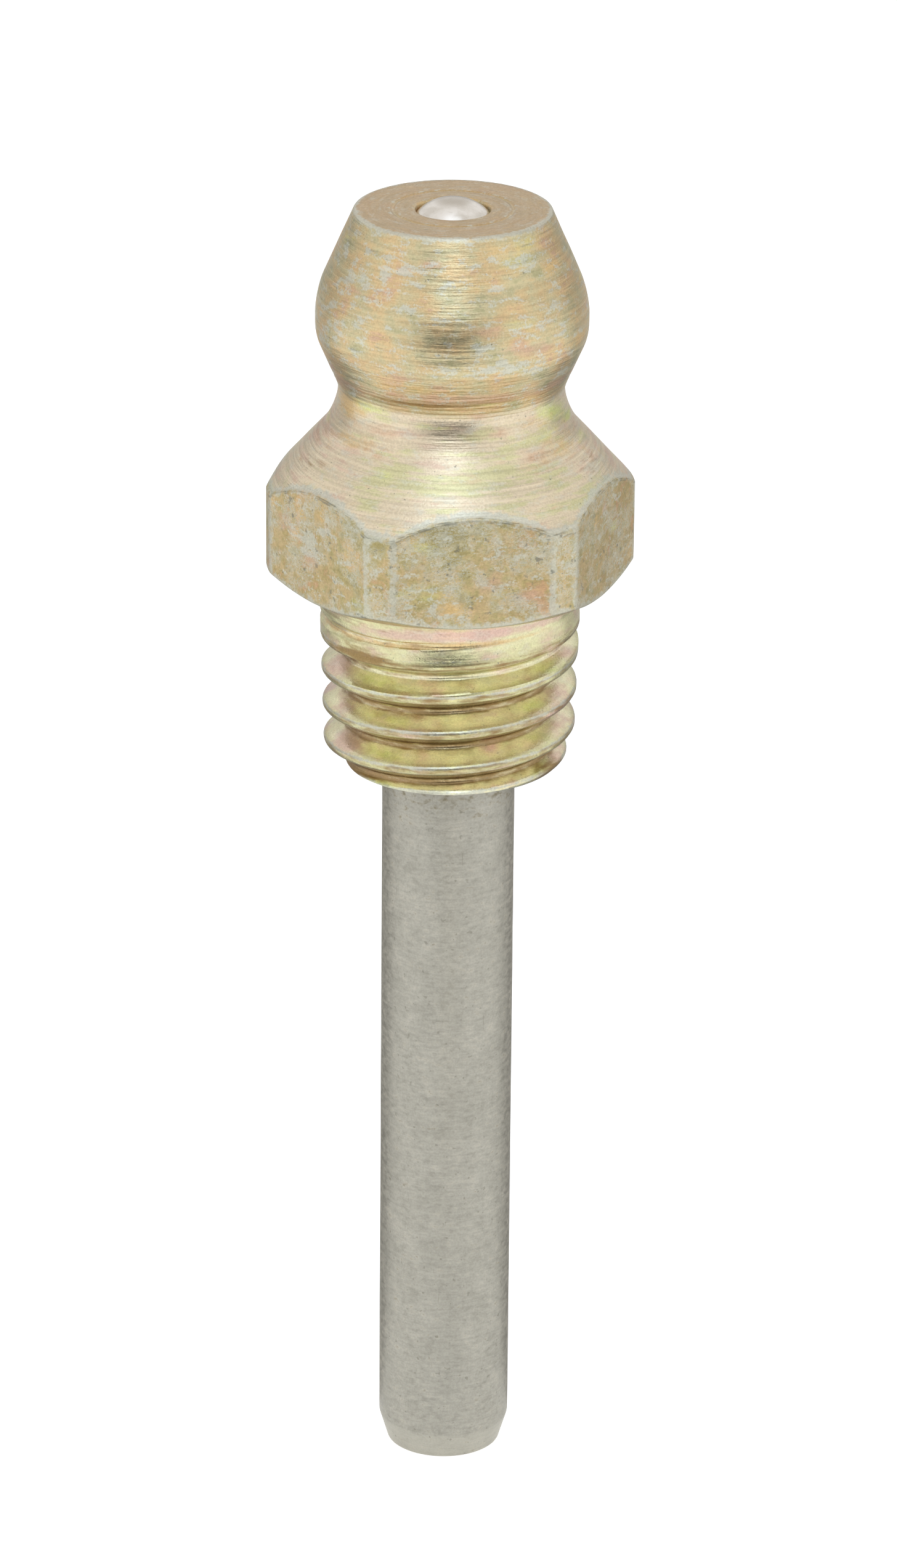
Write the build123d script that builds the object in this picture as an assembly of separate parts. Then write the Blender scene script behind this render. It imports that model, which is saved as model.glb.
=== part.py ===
from build123d import *
from math import atan, atan2, cos, degrees, radians, sin, sqrt, tan
import os

# Grease nipple: a turned steel body with a 6.5 mm coupler head, a hexagon and a tapered thread,
# a ball check held up against its seat by a spring, and a plain outlet tube pressed into the shank.
#
# Millimetres. +Z runs along the axis towards the head. The origin is where the axis crosses the
# underside of the hexagon, which seats on the boss that the nipple is screwed into.
# One hexagon flat faces -Y. Angles are in degrees and, where not said otherwise, from the axis.

# ---- hexagon
HEX_ACROSS_FLATS = 7.94
HEX_CORNER_RADIUS = 4.40        # the corners are turned down to this
HEX_UNDERSIDE_RISE = 30         # chamfer under the corners, from the seating plane

# ---- coupler head and neck
HEAD_TOP = 9.07
HEAD_RADIUS = 3.235
HEAD_FACE_RADIUS = 2.333
HEAD_FACE_EDGE = 0.08           # round on the rim of the top face
HEAD_UPPER_FLANK = 23.6
HEAD_LOWER_FLANK = 23.7
HEAD_LAND_BOTTOM = 6.04         # where the widest band meets the lower flank
HEAD_UPPER_BLEND = 1.5
HEAD_LOWER_BLEND = 1.0
NECK_RADIUS = 2.69
NECK_TOP_BLEND = 1.1
NECK_BOTTOM_BLEND = 1.55
BASE_CONE_ANGLE = 42            # cone from the neck out over the hexagon
BASE_CONE_RADIUS, BASE_CONE_HEIGHT = 3.90, 2.79     # a point on that cone

# ---- crimped inlet
INLET_RADIUS = 0.88
INLET_RIM_ROUND = 0.05
CRIMP_RING_RADIUS = 1.42        # shallow ring left in the face by the crimping tool
CRIMP_RING_WIDTH = 0.14
CRIMP_RING_DEPTH = 0.035

# ---- ball check
BALL_RADIUS = 2.381 / 2
BALL_DEPTH = 0.93               # ball centre below the top face
BALL_CLEARANCE = 0.02           # ball to seat, and ball to spring
SEAT_ANGLE = 40
CHAMBER_RADIUS = 1.30
SPRING_RADIUS = 0.98            # to the middle of the wire
SPRING_WIRE_RADIUS = 0.12
SPRING_WIRE_SIDES = 6           # flats that stand for the round wire
SPRING_TURNS = 5

# ---- shank and tapered thread
SHANK_END = -4.68
SHANK_RADIUS = 3.15             # over the crests, at the hexagon
THREAD_TAPER = 1 / 16           # on diameter
THREAD_PITCH = 25.4 / 28
THREAD_DEPTH = 0.52
THREAD_ROOT_WIDTH = 0.14
THREAD_FLANK = 30               # from square to the axis
THREAD_CUTTER_PROUD = 0.10      # how far the cutter stands out of the shank
THREAD_ROOT_HEIGHT = -2.56      # where the groove crosses the -Y side
THREAD_FULL_TURNS_BELOW = 3     # turns cut below that crossing, out past the end of the shank
THREAD_FULL_TURNS_ABOVE = 0.75
THREAD_RUNOUT_TURNS = 0.95
SHANK_END_CHAMFER = 0.33
SOCKET_TOP = 0.50               # height that the outlet tube is pressed up to

# ---- outlet tube
TUBE_RADIUS = 1.60
TUBE_SPIGOT_RADIUS = 1.40       # turned-down end, pressed in until its shoulder meets the shank
TUBE_BORE_RADIUS = 0.80
TUBE_END = -22.95
TUBE_END_RADIUS = 1.38
TUBE_CHAMFER_LENGTH = 0.72
TUBE_EDGE = 0.06

# ---- cutting and measuring
CUT_OVERRUN = 0.5               # how far a cutter passes the face that it opens
FACE_TOLERANCE = 1e-4           # for finding edges by their height

# ---- worked out
TAPER_ANGLE = degrees(atan(THREAD_TAPER / 2))
BALL_CENTRE = HEAD_TOP - BALL_DEPTH
SPRING_SEAT = SOCKET_TOP        # the spring stands on the end of the tube
REACH = SPRING_WIRE_RADIUS + BALL_RADIUS + BALL_CLEARANCE
SPRING_TOP_COIL = BALL_CENTRE - sqrt(REACH**2 - SPRING_RADIUS**2)


def turned(corners):
    """A solid of revolution from (radius, height, blend) corners, closed along the axis."""
    points = [(radius, height) for radius, height, _ in corners]
    with BuildPart() as part:
        with BuildSketch(Plane.XZ):
            with BuildLine():
                FilletPolyline(*points, radius=[blend for _, _, blend in corners], close=True)
            make_face()
        revolve(axis=Axis.Z)
    return part.part


def shank_radius(height):
    """Radius over the thread crests, which taper towards the end of the shank."""
    return SHANK_RADIUS + height * THREAD_TAPER / 2


def body_blank():
    """The outside of the body as turned, before the hexagon, the thread and the bores."""
    upper_corner = HEAD_TOP - (HEAD_RADIUS - HEAD_FACE_RADIUS) / tan(radians(HEAD_UPPER_FLANK))
    neck_top = HEAD_LAND_BOTTOM - (HEAD_RADIUS - NECK_RADIUS) / tan(radians(HEAD_LOWER_FLANK))
    cone_slope = tan(radians(BASE_CONE_ANGLE))
    neck_bottom = BASE_CONE_HEIGHT + (BASE_CONE_RADIUS - NECK_RADIUS) / cone_slope
    cone_bottom = BASE_CONE_HEIGHT - (HEX_CORNER_RADIUS - BASE_CONE_RADIUS) / cone_slope
    underside = HEX_ACROSS_FLATS / 2
    underside_rise = (HEX_CORNER_RADIUS - underside) * tan(radians(HEX_UNDERSIDE_RISE))
    chamfer_top = SHANK_END + SHANK_END_CHAMFER
    ring_inner = CRIMP_RING_RADIUS - CRIMP_RING_WIDTH / 2
    ring_outer = CRIMP_RING_RADIUS + CRIMP_RING_WIDTH / 2
    return turned([
        (0, SHANK_END, 0),
        (shank_radius(chamfer_top) - SHANK_END_CHAMFER, SHANK_END, 0),
        (shank_radius(chamfer_top), chamfer_top, 0),
        (SHANK_RADIUS, 0, 0),
        (underside, 0, 0),
        (HEX_CORNER_RADIUS, underside_rise, 0),
        (HEX_CORNER_RADIUS, cone_bottom, 0),
        (NECK_RADIUS, neck_bottom, NECK_BOTTOM_BLEND),
        (NECK_RADIUS, neck_top, NECK_TOP_BLEND),
        (HEAD_RADIUS, HEAD_LAND_BOTTOM, HEAD_LOWER_BLEND),
        (HEAD_RADIUS, upper_corner, HEAD_UPPER_BLEND),
        (HEAD_FACE_RADIUS, HEAD_TOP, HEAD_FACE_EDGE),
        (ring_outer, HEAD_TOP, 0),
        (CRIMP_RING_RADIUS, HEAD_TOP - CRIMP_RING_DEPTH, 0),
        (ring_inner, HEAD_TOP, 0),
        (0, HEAD_TOP, 0),
    ])


def body_bore():
    """Everything that is bored out: the inlet, the ball's seat and chamber, and the tube socket."""
    reach = BALL_RADIUS + BALL_CLEARANCE
    touch_radius = reach * cos(radians(SEAT_ANGLE))
    touch_height = BALL_CENTRE + reach * sin(radians(SEAT_ANGLE))
    slope = tan(radians(SEAT_ANGLE))
    seat_top = touch_height + (touch_radius - INLET_RADIUS) / slope
    seat_bottom = touch_height - (CHAMBER_RADIUS - touch_radius) / slope
    below, above = SHANK_END - CUT_OVERRUN, HEAD_TOP + CUT_OVERRUN
    return turned([
        (0, below, 0),
        (TUBE_SPIGOT_RADIUS, below, 0),
        (TUBE_SPIGOT_RADIUS, SOCKET_TOP, 0),
        (CHAMBER_RADIUS, SOCKET_TOP, 0),
        (CHAMBER_RADIUS, seat_bottom, 0),
        (INLET_RADIUS, seat_top, 0),
        (INLET_RADIUS, above, 0),
        (0, above, 0),
    ])


def groove(start_turn, turns, start_height, start_radius, cone_angle):
    """A V cutter swept up one helix, from start_turn turns past the front (-Y)."""
    slant = cos(radians(cone_angle))
    path = Helix(
        pitch=THREAD_PITCH / slant,
        height=turns * THREAD_PITCH,
        radius=start_radius,
        center=(0, 0, start_height),
        cone_angle=cone_angle,
    )
    depth = THREAD_DEPTH + THREAD_CUTTER_PROUD
    half_root = THREAD_ROOT_WIDTH / 2
    half_mouth = half_root + depth * tan(radians(THREAD_FLANK))
    with BuildSketch(Plane.XZ) as section:
        with BuildLine():
            Polyline(
                (start_radius, start_height - half_root),
                (start_radius + depth, start_height - half_mouth),
                (start_radius + depth, start_height + half_mouth),
                (start_radius, start_height + half_root),
                close=True,
            )
        make_face()
    cutter = sweep(section.sketch, path=path, is_frenet=True)
    return Rot(0, 0, -90 + 360 * start_turn) * cutter


def thread_cutters():
    """The thread groove at full depth, and its run-out below the hexagon."""
    start = THREAD_ROOT_HEIGHT - THREAD_FULL_TURNS_BELOW * THREAD_PITCH
    turns = THREAD_FULL_TURNS_BELOW + THREAD_FULL_TURNS_ABOVE
    end = start + turns * THREAD_PITCH
    rise = THREAD_DEPTH + THREAD_CUTTER_PROUD / 2
    runout_angle = degrees(atan2(rise, THREAD_RUNOUT_TURNS * THREAD_PITCH))
    full = groove(0, turns, start, shank_radius(start) - THREAD_DEPTH, TAPER_ANGLE)
    runout = groove(turns, THREAD_RUNOUT_TURNS, end, shank_radius(end) - THREAD_DEPTH, runout_angle)
    return [full, runout]


def nipple_body():
    hexagon = extrude(
        Plane.XY.offset(SHANK_END - CUT_OVERRUN)
        * RegularPolygon(HEX_ACROSS_FLATS / 2, 6, major_radius=False),
        HEAD_TOP - SHANK_END + 2 * CUT_OVERRUN,
    )
    body = body_blank() & hexagon
    for cutter in thread_cutters():
        body -= cutter
    body -= body_bore()
    face_edges = body.edges().filter_by(GeomType.CIRCLE).filter_by_position(
        Axis.Z, HEAD_TOP - FACE_TOLERANCE, HEAD_TOP + FACE_TOLERANCE
    )
    inlet_rim = face_edges.sort_by(SortBy.RADIUS)[0]
    return fillet(inlet_rim, INLET_RIM_ROUND)


def check_ball():
    return Pos(0, 0, BALL_CENTRE) * Sphere(BALL_RADIUS)


def check_spring():
    """A wire coil with both ends ground square."""
    height = SPRING_TOP_COIL + SPRING_WIRE_RADIUS - SPRING_SEAT
    pitch = height / SPRING_TURNS
    start = SPRING_SEAT - pitch / 2
    path = Helix(pitch, height + pitch, SPRING_RADIUS, center=(0, 0, start))
    wire = RegularPolygon(SPRING_WIRE_RADIUS, SPRING_WIRE_SIDES)
    section = Plane(origin=path @ 0, z_dir=path % 0) * wire
    coil = sweep(section, path=path, is_frenet=True)
    ends = Pos(0, 0, SPRING_SEAT + height / 2) * Cylinder(2 * SPRING_RADIUS, height)
    return coil & ends


def extension_tube():
    return turned([
        (TUBE_BORE_RADIUS, TUBE_END, 0),
        (TUBE_END_RADIUS, TUBE_END, TUBE_EDGE),
        (TUBE_RADIUS, TUBE_END + TUBE_CHAMFER_LENGTH, 0),
        (TUBE_RADIUS, SHANK_END, 0),
        (TUBE_SPIGOT_RADIUS, SHANK_END, 0),
        (TUBE_SPIGOT_RADIUS, SOCKET_TOP, 0),
        (TUBE_BORE_RADIUS, SOCKET_TOP, 0),
    ])


os.makedirs("parts", exist_ok=True)
for make in (nipple_body, check_ball, check_spring, extension_tube):
    solid = make()
    export_step(solid, f"parts/{make.__name__}.step")
    print(make.__name__, "volume", round(solid.volume, 3), "faces", len(solid.faces()))
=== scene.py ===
"""A grease nipple with an outlet tube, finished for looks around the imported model.

Meshes are modelled in millimetres and made metres when a piece is finished. +Z is the axis,
towards the coupler head, and the origin is at the seating plane under the hexagon.
"""
from bisect import bisect_left
from math import acos, atan2, ceil, cos, degrees, exp, hypot, pi, radians, sin, tan
from random import Random

import bmesh
import bpy
from mathutils import Matrix, Vector, noise


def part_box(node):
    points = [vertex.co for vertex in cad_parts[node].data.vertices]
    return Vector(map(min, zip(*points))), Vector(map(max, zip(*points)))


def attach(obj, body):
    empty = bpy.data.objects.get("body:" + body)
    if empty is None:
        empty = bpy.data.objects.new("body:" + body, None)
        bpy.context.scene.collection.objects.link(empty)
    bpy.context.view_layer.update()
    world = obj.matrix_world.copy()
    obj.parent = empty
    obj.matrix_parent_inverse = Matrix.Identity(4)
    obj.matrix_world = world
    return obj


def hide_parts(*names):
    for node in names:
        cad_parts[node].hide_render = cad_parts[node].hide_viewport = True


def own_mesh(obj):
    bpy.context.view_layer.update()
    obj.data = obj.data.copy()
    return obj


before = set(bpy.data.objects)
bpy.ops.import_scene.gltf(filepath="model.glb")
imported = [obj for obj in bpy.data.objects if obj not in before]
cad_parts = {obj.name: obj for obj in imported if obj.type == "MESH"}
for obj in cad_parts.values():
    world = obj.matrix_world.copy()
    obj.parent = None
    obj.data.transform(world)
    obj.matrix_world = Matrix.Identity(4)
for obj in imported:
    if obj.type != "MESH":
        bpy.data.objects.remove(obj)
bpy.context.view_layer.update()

MM = 0.001


def box_mm(node):
    """Lowest and highest corner of a CAD node, in millimetres."""
    low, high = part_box(node)
    return low / MM, high / MM


BODY_LOW, BODY_HIGH = box_mm("nipple_body")
TUBE_LOW, TUBE_HIGH = box_mm("extension_tube")
_, BALL_HIGH = box_mm("check_ball")
SPRING_LOW, SPRING_HIGH = box_mm("check_spring")

# ---- body: head, neck and hexagon
HEAD_TOP = BODY_HIGH.z
HEAD_FACE_RADIUS = 2.333
HEAD_FACE_EDGE = 0.09
HEAD_RADIUS = 3.235
HEAD_UPPER_FLANK = radians(23.6)
HEAD_LOWER_FLANK = radians(23.7)
HEAD_LAND_BOTTOM = 6.04
HEAD_UPPER_ROUND, HEAD_LOWER_ROUND = 2.2, 1.0
NECK_RADIUS = 2.69
BASE_CONE = radians(42)
BASE_CONE_RADIUS, BASE_CONE_HEIGHT = 3.90, 2.79
HEX_APOTHEM = BODY_HIGH.y
HEX_CORNER_RADIUS = BODY_HIGH.x
HEX_UNDERSIDE_RADIUS = HEX_APOTHEM - 0.04
HEX_UNDERSIDE_RISE = radians(30)
HEX_EDGE = 0.07                 # round on the hexagon's edges
HEX_BLEND_TOP = 3.45            # radius on the base cone down to which the rows follow the flats
NECK_TOP_ROW = 4.95             # the cone's smoother finish reaches up to here

# ---- body: inlet and bores
INLET_RADIUS = 0.88
CRIMP_RING_RADIUS, CRIMP_RING_WIDTH, CRIMP_RING_DEPTH = 1.42, 0.14, 0.035
CHAMBER_RADIUS = 1.30
SEAT_HEIGHTS = 8.30, 8.82       # the cone that the ball seats against
SOCKET_RADIUS = 1.40
SOCKET_TOP = TUBE_HIGH.z

# ---- body: shank and thread
SHANK_END = BODY_LOW.z
SHANK_RADIUS = 3.15
SHANK_TAPER = 1 / 32            # on radius
SHANK_END_RADIUS = 2.69
THREAD_PITCH = 25.4 / 28
THREAD_DEPTH = 0.52
THREAD_ROOT_WIDTH = 0.14
THREAD_FLANK = radians(30)
THREAD_ROOT_HEIGHT = -2.56      # on the -Y side
THREAD_FULL_TURNS = 0.75        # above that crossing
THREAD_RUNOUT_TURNS = 1.55
THREAD_RUNOUT_CURVE = 1.25
THREAD_CREST_ROUND = 0.10
THREAD_ROOT_ROUND = 0.09
THREAD_TOP = -0.16              # above this the shank is plain
THREAD_END_ROUND = 0.22         # where the crests meet the chamfered start

# ---- tube
TUBE_RADIUS = TUBE_HIGH.x
TUBE_BORE_RADIUS = 0.80
TUBE_END = TUBE_LOW.z
TUBE_END_RADIUS = 1.38
TUBE_CHAMFER_LENGTH = 0.72

# ---- ball and spring
BALL_RADIUS = BALL_HIGH.x
BALL_CENTRE = BALL_HIGH.z - BALL_RADIUS
SPRING_WIRE_RADIUS = 0.12
SPRING_RADIUS = SPRING_HIGH.x - SPRING_WIRE_RADIUS
SPRING_TURNS = 5
SPRING_COLUMNS = 48             # round each turn

# ---- camera
CAMERA_DISTANCE = 178.76 * MM
CAMERA_DOWN = radians(21.8)
CAMERA_ROUND = radians(-7.9)    # from square on to a flat
CAMERA_ROLL = radians(0.47)
CAMERA_AIM = Vector((0, 0, -5.468)) * MM
CAMERA_FOCUS_PIXELS = 12000
PICTURE_HEIGHT = 2545
PICTURE_OFFSET = 0.3            # pixels that the axis lies left of the middle
SENSOR = 36

# ---- floor and light: turns and heights in degrees seen from the part, sizes in millimetres
FLOOR_SIZE = 900
LAMP_AIM = Vector((0, 0, 0))
WHITE, COOL_WHITE = (1, 1, 1), (0.8, 0.97, 1.2)
SOFTBOXES = (                   # name, turn, height, distance, width, height, brightness, colour
    ("left_softbox", -60, 20, 260, 200, 260, 0.2, WHITE),
    ("right_softbox", 60, 20, 260, 200, 260, 0.2, WHITE),
    ("top_softbox", 0, 70, 200, 110, 150, 0.62, COOL_WHITE),
    ("front_softbox", 0, 41, 230, 96, 90, 1.4, COOL_WHITE),
)
ROOM_LIGHT, FLOOR_GLOW = 0.6, 0.7
CARD_TOP = 28
CARD_ON_FLOOR = TUBE_END + 0.4
BACK_CARDS = (                  # name, first turn, low, high, inner and outer radius, brightness
    ("back_flag", 110, TUBE_END, CARD_TOP, 120, 120, 0.6),
    ("far_floor_flag", 118, CARD_ON_FLOOR, CARD_ON_FLOOR, 55, 110, 0.64),
    ("near_floor_flag", 112, CARD_ON_FLOOR, CARD_ON_FLOOR, 2, 55, 0.4),
)
FRONT_CARD_TURN, FRONT_CARD_AWAY, FRONT_CARD_HALF, FRONT_CARD_GLOW = -2, 120, 50, 0.08
BOUNCE_CARD_TURN, BOUNCE_CARD_LEVEL, BOUNCE_CARD_GLOW = 4, TUBE_END + 0.6, 1.5
BOUNCE_CARD_ENDS = (22, 5), (64, 14)    # how far out, and half the width there

# ---- finish
FINISH_LAYERS = (
    "run", "wear", "dirt_and_painted_shade", "line", "flat", "rolled", "cone", "deep",
    "rosy", "golden", "green", "mauve", "grey",
)
NECK_GROOVES = (5.13, 0.016, 0.05), (5.00, 0.018, 0.03), (4.88, 0.012, 0.03)  # height, depth, width

MARKED_SIDE = radians(-8)       # from -Y, where the patches' turns are counted from

# Patches of colour on the body; the browner ones 55 to 78 degrees round make it darker towards its
# outline. Turns are in degrees, counterclockwise seen from above.
# layer, turn, height, half width, half height, strength
PATCHES = [
    # head
    ("grey", -45, 8.1, 1.2, 0.5, 0.4), ("grey", -60, 6.6, 1.2, 0.4, 0.5),
    ("grey", 20, 6.1, 1.6, 0.25, 0.6),
    ("golden", 30, 8.7, 0.7, 0.15, 0.5), ("golden", -10, 8.3, 0.5, 0.1, 0.4),
    # neck
    ("rosy", 0, 5.3, 2.2, 0.2, 0.8), ("rosy", -62, 5.18, 1.0, 0.2, 0.6),
    ("rosy", 60, 5.3, 0.9, 0.16, 0.6),
    ("dirt_and_painted_shade", -12, 5.12, 1.1, 0.05, 0.9), ("dirt_and_painted_shade", -62, 5.2, 0.8, 0.06, 0.5),
    ("golden", 45, 5.2, 1.0, 0.12, 0.7), ("golden", 40, 5.0, 0.9, 0.1, 0.4),
    ("green", 16, 5.14, 0.5, 0.05, 0.6),
    # cone
    ("golden", -66, 4.6, 0.8, 0.3, 0.9), ("dirt_and_painted_shade", -62, 4.75, 0.7, 0.15, 0.35),
    ("green", -48, 4.75, 0.7, 0.14, 0.7), ("green", 62, 4.5, 0.8, 0.2, 0.6),
    ("green", -10, 4.55, 0.6, 0.08, 0.5), ("green", 50, 4.1, 0.7, 0.15, 0.5),
    ("rosy", -36, 4.3, 0.8, 0.14, 0.6), ("rosy", 22, 4.35, 0.9, 0.14, 0.5),
    ("golden", -50, 3.9, 0.9, 0.2, 0.5), ("golden", 60, 3.8, 0.8, 0.3, 0.5),
    ("dirt_and_painted_shade", -78, 3.8, 0.6, 0.4, 0.4), ("dirt_and_painted_shade", -55, 3.5, 0.8, 0.2, 0.3),
    ("dirt_and_painted_shade", 68, 3.25, 0.8, 0.25, 0.5), ("dirt_and_painted_shade", -70, 3.15, 0.8, 0.25, 0.5),
    ("grey", 72, 3.1, 0.6, 0.2, 0.8),
    # plain shank and the thread's run-out
    ("golden", 0, -0.35, 3.0, 0.06, 0.4), ("golden", 0, -0.7, 1.6, 0.08, 0.6),
    ("dirt_and_painted_shade", -45, -1.2, 1.0, 0.24, 0.85),
    # thread's end
    ("dirt_and_painted_shade", 62, -4.6, 0.6, 0.22, 0.9), ("dirt_and_painted_shade", -60, -4.6, 0.9, 0.14, 0.5),
]

# on every turn of the thread: layer, turn, height above the root, half width, half height, strength
FLANK_MIDDLE = 0.21             # of either flank, above or below the root
THREAD_PATCHES = (
    ("green", -35, -FLANK_MIDDLE, 0.8, 0.13, 0.7), ("green", 50, -FLANK_MIDDLE, 0.6, 0.12, 0.6),
    ("mauve", -68, -FLANK_MIDDLE, 0.7, 0.24, 0.9), ("mauve", 75, -FLANK_MIDDLE, 0.5, 0.16, 0.7),
    ("mauve", 30, -FLANK_MIDDLE, 0.5, 0.08, 0.4), ("green", 150, -FLANK_MIDDLE, 0.9, 0.13, 0.8),
    ("mauve", -130, -FLANK_MIDDLE, 0.8, 0.2, 0.8),
)

# scattered all round: layer, how many, lowest, highest, half width, half height, strength
SCATTER_SEED = 4
SCATTERED_PATCHES = (
    ("golden", 30, 5.4, 8.8, 0.40, 0.12, 0.7), ("grey", 26, 5.4, 8.8, 0.32, 0.12, 0.8),
    ("rosy", 16, 5.4, 8.8, 0.35, 0.13, 0.7), ("green", 10, 5.4, 8.8, 0.50, 0.14, 0.35),
    ("rosy", 16, 3.2, 4.8, 0.45, 0.13, 0.45), ("green", 12, 3.4, 4.8, 0.35, 0.10, 0.5),
    ("golden", 12, 2.5, 4.6, 0.45, 0.10, 0.4), ("grey", 12, 2.7, 3.4, 0.40, 0.07, 0.7),
    ("golden", 20, 0.4, 2.3, 0.35, 0.35, 0.6), ("rosy", 16, 0.4, 2.3, 0.30, 0.25, 0.7),
    ("grey", 16, 0.4, 2.2, 0.35, 0.30, 0.6), ("green", 8, 0.4, 2.3, 0.50, 0.25, 0.4),
    ("mauve", 9, -0.6, -0.4, 1.30, 0.13, 0.7),
)

# ---- mesh density
COLUMNS = 360
THREAD_COLUMNS = 300
ARC_ROW = 0.11                  # along a round
HIDDEN_ROW = 2.0                # down the bores
THREAD_ROW = 0.10


# ---------------------------------------------------------------- modelling

def finish_layers(bm):
    """The layers that the finishes read: place along the section, and where each kind of wear, grime and
    painted shade is.
    """
    layers = bm.verts.layers.float
    return {name: layers.get(name) or layers.new(name) for name in FINISH_LAYERS}


def outline_wire(bm, outline):
    """A wire through (radius, height, blend, row) corners.

    Each corner is rounded to its blend, and the stretch after it is cut into rows of that length.
    The "run" layer is the length along the wire, counted from its first height.
    """
    row_of = bm.verts.layers.float.new("row")
    run_of = finish_layers(bm)["run"]
    places = [Vector((radius, 0, height)) for radius, height, _, _ in outline]
    corners = [bm.verts.new(place) for place in places]
    for pair in zip(corners, corners[1:]):
        bm.edges.new(pair)
    for corner, (_, _, _, row) in zip(corners, outline):
        corner[row_of] = row
    for i, (_, _, blend, _) in enumerate(outline):
        if blend:
            turn = (places[i] - places[i - 1]).angle(places[i + 1] - places[i])
            bmesh.ops.bevel(
                bm, geom=[corners[i]], affect="VERTICES", profile=0.5, material=-1,
                offset=blend * tan(turn / 2), segments=max(3, ceil(blend * turn / ARC_ROW)),
            )
    order = walk(bm, places[0])
    stretches = [(bm.edges.get(pair), pair[0][row_of]) for pair in zip(order, order[1:])]
    for edge, row in stretches:
        cuts = int(edge.calc_length() / row)
        if cuts:
            bmesh.ops.subdivide_edges(bm, edges=[edge], cuts=cuts)
    order = walk(bm, places[0])
    order[0][run_of] = run = order[0].co.z
    for last, vert in zip(order, order[1:]):
        run += (vert.co - last.co).length
        vert[run_of] = run


def walk(bm, start):
    """The wire's vertices in order, from the end that is nearest to the start."""
    ends = [vert for vert in bm.verts if len(vert.link_edges) == 1]
    order = [min(ends, key=lambda vert: (vert.co - start).length)]
    seen = set(order)
    while True:
        beside = [edge.other_vert(order[-1]) for edge in order[-1].link_edges]
        ahead = [vert for vert in beside if vert not in seen]
        if not ahead:
            return order
        order.append(ahead[0])
        seen.add(ahead[0])


def spin_round(bm, steps, rise=0.0):
    """The wire spun once about Z, rising by so much on the way."""
    bmesh.ops.spin(
        bm, geom=[*bm.verts, *bm.edges], cent=(0, 0, 0), axis=(0, 0, 1), angle=2 * pi,
        dvec=(0, 0, rise / steps), steps=steps, use_merge=not rise,
    )


def soft_min(a, b, width):
    """The smaller of two, with a round of about that width where they cross."""
    mix = max(0.0, min(1.0, 0.5 + 0.5 * (b - a) / width))
    return b + (a - b) * mix - width * mix * (1 - mix)


def near(value, centre, width):
    """1 at the centre, falling to 0 over about twice the width."""
    return exp(-((value - centre) / width) ** 2)


def ramp(value, start, end):
    """0 before start, 1 after end."""
    return max(0.0, min(1.0, (value - start) / (end - start)))


def finished(bm, name, body, node, material, sharp=40):
    """Makes the mesh an object in metres that stands for a CAD node."""
    bmesh.ops.recalc_face_normals(bm, faces=bm.faces[:])
    mesh = bpy.data.meshes.new(name)
    bm.to_mesh(mesh)
    bm.free()
    mesh.transform(Matrix.Scale(MM, 4))
    mesh.shade_smooth()
    mesh.set_sharp_from_angle(angle=radians(sharp))
    mesh.materials.append(material)
    piece = bpy.data.objects.new(name, mesh)
    bpy.context.scene.collection.objects.link(piece)
    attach(piece, body)
    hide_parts(node)
    return piece


# ---------------------------------------------------------------- body

def body_outline():
    """The body's section from the plain shank up, over the head and down the bores."""
    wall_bottom = (HEX_CORNER_RADIUS - HEX_UNDERSIDE_RADIUS) * tan(HEX_UNDERSIDE_RISE)
    wall_top = BASE_CONE_HEIGHT - (HEX_CORNER_RADIUS - BASE_CONE_RADIUS) / tan(BASE_CONE)
    neck_bottom = BASE_CONE_HEIGHT + (BASE_CONE_RADIUS - NECK_RADIUS) / tan(BASE_CONE)
    neck_top = HEAD_LAND_BOTTOM - (HEAD_RADIUS - NECK_RADIUS) / tan(HEAD_LOWER_FLANK)
    land_top = HEAD_TOP - (HEAD_RADIUS - HEAD_FACE_RADIUS) / tan(HEAD_UPPER_FLANK)
    plain_bottom = THREAD_TOP + 0.04
    return [
        (SHANK_RADIUS + plain_bottom * SHANK_TAPER, plain_bottom, 0, 0.12),
        (SHANK_RADIUS, 0, 0.05, 0.2),
        (HEX_UNDERSIDE_RADIUS, 0, 0.03, 0.15),
        (HEX_CORNER_RADIUS, wall_bottom, HEX_EDGE, 0.12),
        (HEX_CORNER_RADIUS, wall_top, HEX_EDGE, 0.12),
        (NECK_RADIUS, neck_bottom, 1.55, 0.12),
        (NECK_RADIUS, neck_top, 1.1, 0.05),
        (HEAD_RADIUS, HEAD_LAND_BOTTOM, HEAD_LOWER_ROUND, 0.12),
        (HEAD_RADIUS, land_top, HEAD_UPPER_ROUND, 0.12),
        (HEAD_FACE_RADIUS, HEAD_TOP, HEAD_FACE_EDGE, 0.12),
        (CRIMP_RING_RADIUS + CRIMP_RING_WIDTH / 2, HEAD_TOP, 0.05, 0.12),
        (CRIMP_RING_RADIUS, HEAD_TOP - CRIMP_RING_DEPTH, 0.03, 0.12),
        (CRIMP_RING_RADIUS - CRIMP_RING_WIDTH / 2, HEAD_TOP, 0.05, 0.12),
        (INLET_RADIUS, HEAD_TOP, 0.06, HIDDEN_ROW),
        (INLET_RADIUS, SEAT_HEIGHTS[1], 0, HIDDEN_ROW),
        (CHAMBER_RADIUS, SEAT_HEIGHTS[0], 0, HIDDEN_ROW),
        (CHAMBER_RADIUS, SOCKET_TOP, 0, HIDDEN_ROW),
        (SOCKET_RADIUS, SOCKET_TOP, 0, HIDDEN_ROW),
        (SOCKET_RADIUS, SHANK_END, 0, HIDDEN_ROW),
    ]


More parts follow.
